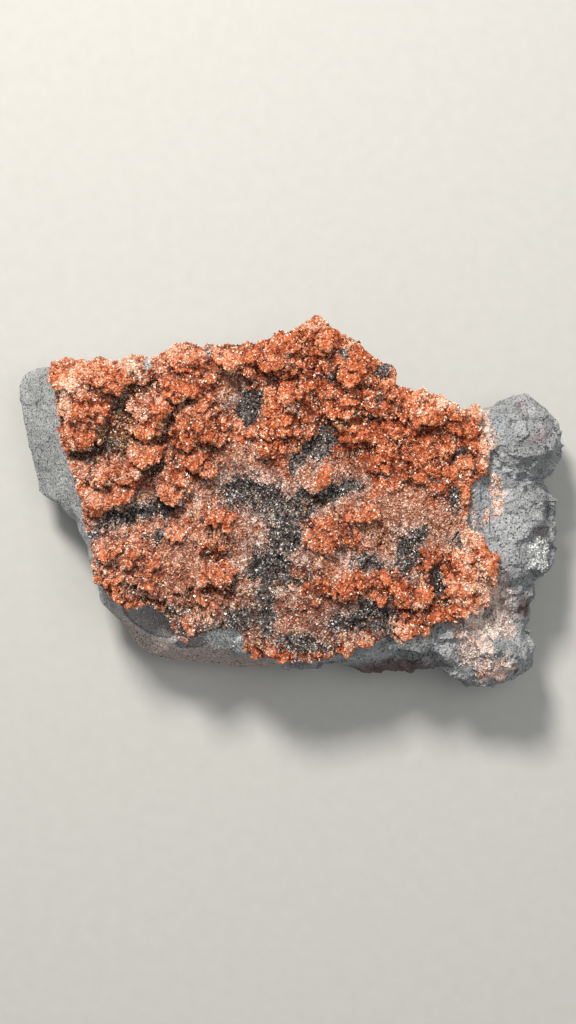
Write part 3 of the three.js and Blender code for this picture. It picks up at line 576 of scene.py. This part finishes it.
colour = tinted(tree, reds.outputs["Color"], [
    ("dusty_crystals", "#965f49", 0.7), ("dark_crystals", "#323030", 0.85),
    ("pale_crystals", "#d0a590", 0.75), ("gap_floors", "#4b3a31", 0.6), ("bare_rock", "#a3adb2", 0.9),
])
grain = node(tree, "ShaderNodeTexVoronoi", Vector=place, Scale=1 / HEMATITE_GRAIN)
own = node(tree, "ShaderNodeSeparateColor", Color=grain.outputs["Color"])
own_shade = node(tree, "ShaderNodeMapRange", Value=own.outputs["Red"], To_Min=0.6, To_Max=1.4)
grainy = node(tree, "ShaderNodeMix", {"data_type": "RGBA", "blend_type": "MULTIPLY"}, _0=1.0, _6=colour,
              _7=own_shade.outputs["Result"])
grained = node(tree, "ShaderNodeBump", Height=grain.outputs["Distance"], Strength=0.8, Distance=0.25 * MM)
tree.links.new(grainy.outputs[2], shader.inputs["Base Color"])
tree.links.new(grained.outputs["Normal"], shader.inputs["Normal"])
shader.inputs["Roughness"].default_value = 0.5
crust.data.materials.append(hematite_body)
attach(crust, "root")
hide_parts("hematite_crust")


# The outer crystals: small pointed crystals of quartz and hematite, each well under a millimetre, that
# cover the crust all over and catch the light on their flat faces. Each piece is one kind: red, dusty
# pink, lilac grey under a thicker coat, black, amber in the gaps, or nearly white.
# The finest of the real ones are too small to show, so they are drawn coarser.
CRYSTAL_SIZE = 0.42 * MM  # half the width of a usual crystal
CRYSTAL_STANDS_OUT = 0.35  # how far its middle lies above the surface, as a share of its half width


def crystal_shape():
    """One three-sided crystal point, its base a little below the surface that it grows from."""
    shape = bmesh.new()
    bmesh.ops.create_cone(shape, cap_ends=True, segments=3, radius1=1.2, radius2=0, depth=1.5,
                          matrix=Matrix.Translation((0, 0, 0.3)))
    bmesh.ops.remove_doubles(shape, verts=shape.verts, dist=0.001)
    shape.verts.ensure_lookup_table()
    points = np.array([vert.co for vert in shape.verts])
    faces = np.array([[vert.index for vert in face.verts] for face in shape.faces])
    shape.free()
    return points, faces


def surface_of(piece):
    """The corners of a piece's triangles, their areas and the way that each faces."""
    mesh = piece.data
    mesh.calc_loop_triangles()
    corners = np.zeros(len(mesh.loop_triangles) * 3, int)
    mesh.loop_triangles.foreach_get("vertices", corners)
    corners = corners.reshape(-1, 3)
    spots = points_of(mesh)[corners]
    cross = np.cross(spots[:, 1] - spots[:, 0], spots[:, 2] - spots[:, 0])
    length = np.linalg.norm(cross, axis=1)
    return corners, spots, length / 2, cross / np.maximum(length, 1e-12)[:, None]


def grow_crystals(name, surface, share, tone, spread, count, size, point, lean, seed):
    """Joins `count` crystals into one piece, spread over the surface by area and by each face's share.
    Each has the shade of its place, give or take `spread`, is `point` times as high as wide, and leans by
    `lean`."""
    random = np.random.default_rng(seed)
    corners, spots, area, facing = surface
    chance = area * share
    chosen = random.choice(len(area), size=count, p=chance / chance.sum())
    first, second = random.random((2, count))
    root = np.sqrt(first)
    weights = np.stack([1 - root, root * (1 - second), root * second], axis=1)
    foot = (spots[chosen] * weights[:, :, None]).sum(axis=1)
    up = facing[chosen] + lean * random.normal(size=(count, 3))
    up /= np.linalg.norm(up, axis=1)[:, None]
    side = np.cross(up, random.normal(size=(count, 3)))
    side /= np.linalg.norm(side, axis=1)[:, None]
    front = np.cross(up, side)
    width = size * np.exp(np.clip(0.25 * random.normal(size=count), -0.6, 0.45))
    height = width * point * random.uniform(0.75, 1.35, size=count)
    shape_points, shape_faces = crystal_shape()
    axes = np.stack([side * width[:, None], front * width[:, None], up * height[:, None]], axis=1)
    places = np.einsum("pk,nkd->npd", shape_points, axes)
    places += (foot + up * (CRYSTAL_STANDS_OUT * width)[:, None])[:, None, :]
    step = len(shape_points)
    faces = shape_faces[None] + (np.arange(count) * step)[:, None, None]
    mesh = bpy.data.meshes.new(name)
    mesh.from_pydata(places.reshape(-1, 3).tolist(), [], faces.reshape(-1, faces.shape[2]).tolist())
    tones = np.clip(tone[chosen] + spread * random.normal(size=count), 0, 1)
    keep_share(mesh, "tone", np.repeat(tones, step))
    piece = bpy.data.objects.new(name, mesh)
    bpy.context.scene.collection.objects.link(piece)
    return piece


def crystal_material(name, shades, roughness, metallic=0.0):
    """Crystal faces in a run of shades, each crystal in its own, with a hard smooth surface."""
    material, tree, shader = new_material(name)
    tone = node(tree, "ShaderNodeAttribute", {"attribute_name": "tone"})
    ramp = node(tree, "ShaderNodeValToRGB", Fac=tone.outputs["Fac"])
    ramp.color_ramp.elements[1].position = 1.0
    ramp.color_ramp.elements[1].color = srgb(shades[-1])
    ramp.color_ramp.elements[0].color = srgb(shades[0])
    for i, shade in enumerate(shades[1:-1], 1):
        ramp.color_ramp.elements.new(i / (len(shades) - 1)).color = srgb(shade)
    tree.links.new(ramp.outputs["Color"], shader.inputs["Base Color"])
    shader.inputs["Roughness"].default_value = roughness
    shader.inputs["Metallic"].default_value = metallic
    return material


crust_surface = surface_of(crust)
at_face = crust_surface[0][:, 0]
outside = (crust_surface[3][:, 2] > -0.6) & (crust_surface[1][:, :, 2].mean(axis=1) > BED + 0.4 * MM)
coarse_patches = waves(crust_points, 3.4 * MM, 21) + 0.5 * waves(crust_points, 1.5 * MM, 22)
coarse_patches = smoothstep(0.08, 0.34, coarse_patches) * (1 - 0.6 * on_clump * light)
drift = waves(crust_points, 9 * MM, 23)
cover = (1 - 0.6 * cracks) * (1 - 0.9 * bare_rock)
red = np.clip((1 - dark) * (1 - dusty) * (1 - 0.6 * pale) * (1 - 0.4 * coarse_patches), 0.01, 1)

# The shade of each kind, from 0 for its darkest to 1 for its lightest: painted light makes it lighter on the
# lumps and painted shade darker in the creases and gaps, and it is darker too along the lower edge.
low_end = smoothstep(-18 * MM, -28 * MM, crust_points[:, 1]) * (crust_points[:, 0] < 40 * MM)
painted_light_by_height = 0.7 * (crest - 0.35) + 0.3 * (light - 0.5)
red_tone = 0.28 + painted_light_by_height - 0.3 * gaps - 0.15 * coarse_patches + 0.3 * drift + 0.15 * pale - 0.1 * low_end
dusty_tone = 0.38 + painted_light_by_height + 0.2 * drift - 0.18 * low_end
dark_tone = 0.4 * crest + 0.35 * light
pale_tone = 0.35 + 0.3 * crest + 0.05 * pale - 0.2 * dark

# Red: glassy crystals stained through by hematite, orange where they are thin and brown where thick.
red_quartz = crystal_material("hematite-stained quartz",
                              ["#5a2613", "#964628", "#c4673d", "#df8e60", "#f5c4a2"], 0.25)
# Dusty: the same crystals under a fine pinkish grey bloom, which dulls them a little.
dusty_quartz = crystal_material("quartz with a grey bloom",
                                ["#5c3020", "#905741", "#b8826a", "#d8ae98", "#f0d8c8"], 0.3)
# Lilac: crystals with a thicker grey bloom, round the black ones.
lilac_quartz = crystal_material("quartz with a thick grey bloom",
                                ["#453733", "#7a6661", "#a6928c", "#d0c0b8", "#efe6e0"], 0.3)
# Black: specular hematite, a metallic grey black that flashes white; its near-white shades are painted
# glints.
specular_hematite = crystal_material("specular hematite",
                                     ["#121112", "#343233", "#676363", "#a39e9b", "#e6e2de"], 0.22)
# Amber: clear brown crystals that line the gaps.
amber_quartz = crystal_material("brown quartz", ["#2a1811", "#5c3926", "#98704d", "#dcc09a"], 0.12)
# Pale: clean quartz with only a trace of red, also scattered thinly over the whole crust as painted glints.
pale_quartz = crystal_material("pale quartz", ["#c88e6c", "#e5bfa2", "#f4dfcc", "#fdf5ea"], 0.2)

for name, share, tone, spread, count, size, point, lean, seed, material in [
    ("red_crystals", red, red_tone, 0.19, 48000, 0.76, 0.7, 0.3, 3, red_quartz),
    ("dusty_crystals", dusty * (1 - dark) * (1 - 0.5 * lilac), dusty_tone, 0.22, 28000, 0.62, 0.8, 0.35, 5,
     dusty_quartz),
    ("lilac_crystals", lilac * (0.08 + 0.92 * dusty), dusty_tone, 0.22, 10000, 0.62, 0.9, 0.4, 6,
     lilac_quartz),
    ("black_crystals", dark + 0.15 * gaps + 0.05 * dusty, dark_tone, 0.3, 22000, 0.62, 1, 0.45, 7,
     specular_hematite),
    ("amber_crystals", gaps + 0.12 * coarse_patches, 0.4 + 0.4 * light, 0.25, 5000, 0.9, 1, 0.45, 8,
     amber_quartz),
    # The pale crystals' even share all over, and their share in the gaps and open patches, are painted
    # glints.
    ("pale_crystals", (pale + 0.35 * coarse_patches + 0.16) * (1 - 0.9 * dark) + 0.4 * gaps, pale_tone, 0.2,
     20000, 0.58, 1.1, 0.45, 9, pale_quartz),
]:
    crystals = grow_crystals(name, crust_surface, (share * cover)[at_face] * outside, tone[at_face],
                             spread, count, size * CRYSTAL_SIZE, point, lean, seed)
    crystals.data.materials.append(material)
    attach(crystals, "root")


# Loose patches on the rock: the same kinds of crystals, with milky ones among them, grown in veins and
# patches round the lower right corner and in the bay, and clear white ones at the right edge.
rock_surface = surface_of(rock)
at_rock_face = rock_surface[0][:, 0]
facing_up = rock_surface[3][:, 2] > 0.1
even_tone = np.full(len(facing_up), 0.5)

# White: clear quartz, bright where its faces turn to the light.
clear_quartz = crystal_material("clear white quartz", ["#6f7372", "#a9adad", "#f4f8fa"], 0.15)
# Milky: cloudy quartz, cream to white with a trace of pink.
milky_quartz = crystal_material("milky quartz", ["#b3958a", "#dbc6bc", "#f0e4de", "#fdfaf7"], 0.2)
for name, share, spread, count, size, seed, material in [
    ("cream_patches", (cream + 0.3 * orange + 0.15 * pink_grey) * patchy, 0.25, 5400, 0.52, 11, milky_quartz),
    ("orange_patches", (orange + 0.06 * cream + 0.03 * pink_grey) * patchy, 0.25, 1200, 0.55, 12, red_quartz),
    ("pink_patches", (0.6 * orange + 0.4 * cream + pink_grey) * patchy, 0.3, 4200, 0.52, 14, lilac_quartz),
    ("white_druse", druse * patchy + 0.4 * painted_light_shelf, 0.35, 1500, 0.6, 13, clear_quartz),
]:
    crystals = grow_crystals(name, rock_surface, share[at_rock_face] * facing_up, even_tone + 0.15, spread,
                             count, size * CRYSTAL_SIZE, 1, 0.45, seed)
    crystals.data.materials.append(material)
    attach(crystals, "root")


# The table that the specimen lies on: a wide sheet of matt card, pale grey and almost even, so that it
# shows no more than the specimen's shadow.
TABLE_SIZE = 3.0
CARD_CLOUDS = 4 * MM
sheet = bmesh.new()
bmesh.ops.create_grid(sheet, x_segments=1, y_segments=1, size=TABLE_SIZE / 2)
table_mesh = bpy.data.meshes.new("table")
sheet.to_mesh(table_mesh)
sheet.free()
table = bpy.data.objects.new("table", table_mesh)
bpy.context.scene.collection.objects.link(table)
card, tree, shader = new_material("matt pale card")
place = node(tree, "ShaderNodeTexCoord").outputs["Object"]
fibres = node(tree, "ShaderNodeTexNoise", Vector=place, Scale=1 / CARD_CLOUDS, Detail=3.0)
shade = node(tree, "ShaderNodeValToRGB", Fac=fibres.outputs["Fac"])
shade.color_ramp.elements[0].color = srgb("#b7b9b8")
shade.color_ramp.elements[1].color = srgb("#bfc1c0")
tree.links.new(shade.outputs["Color"], shader.inputs["Base Color"])
shader.inputs["Roughness"].default_value = 0.9
table.data.materials.append(card)


# Soft studio light: a soft box high beyond the upper edge, as in the photograph, which lights the tops of
# the clumps and leaves the steps below them in shade, and a weaker one overhead with an even fill.
def soft_light(name, place, size, power, colour):
    lamp = bpy.data.lights.new(name, "AREA")
    lamp.shape = "SQUARE"
    lamp.size = size
    lamp.energy = power
    lamp.color = colour
    light = bpy.data.objects.new(name, lamp)
    bpy.context.scene.collection.objects.link(light)
    light.location = place
    light.rotation_euler = (-Vector(place)).to_track_quat("-Z", "Y").to_euler()


soft_light("key light", (-0.2, 0.5, 0.64), size=0.17, power=8.6, colour=(1.0, 0.93, 0.84))
soft_light("overhead light", (0.25, 0.1, 0.9), size=0.5, power=2.2, colour=(1.0, 0.97, 0.92))
world = bpy.data.worlds.new("studio")
world.use_nodes = True
world.node_tree.nodes["Background"].inputs["Color"].default_value = (1, 0.98, 0.96, 1)
world.node_tree.nodes["Background"].inputs["Strength"].default_value = 0.3
bpy.context.scene.world = world
bpy.context.scene.view_settings.view_transform = "Standard"


# The camera looks straight down on the crust, as far away as its lens needs to frame the specimen as the
# photograph does.
LENS = 60
SENSOR = 36
VIEW_HEIGHT = 286.7 * MM  # what the picture's long side takes in, at the level of the crust
CRUST_LEVEL = 34 * MM
MIDDLE = -1.2 * MM  # the picture's middle, along both sides
camera_data = bpy.data.cameras.new("camera")
camera_data.lens = LENS
camera_data.sensor_width = SENSOR
camera = bpy.data.objects.new("camera", camera_data)
bpy.context.scene.collection.objects.link(camera)
camera.location = (MIDDLE, MIDDLE, CRUST_LEVEL + VIEW_HEIGHT * LENS / SENSOR)
bpy.context.scene.camera = camera
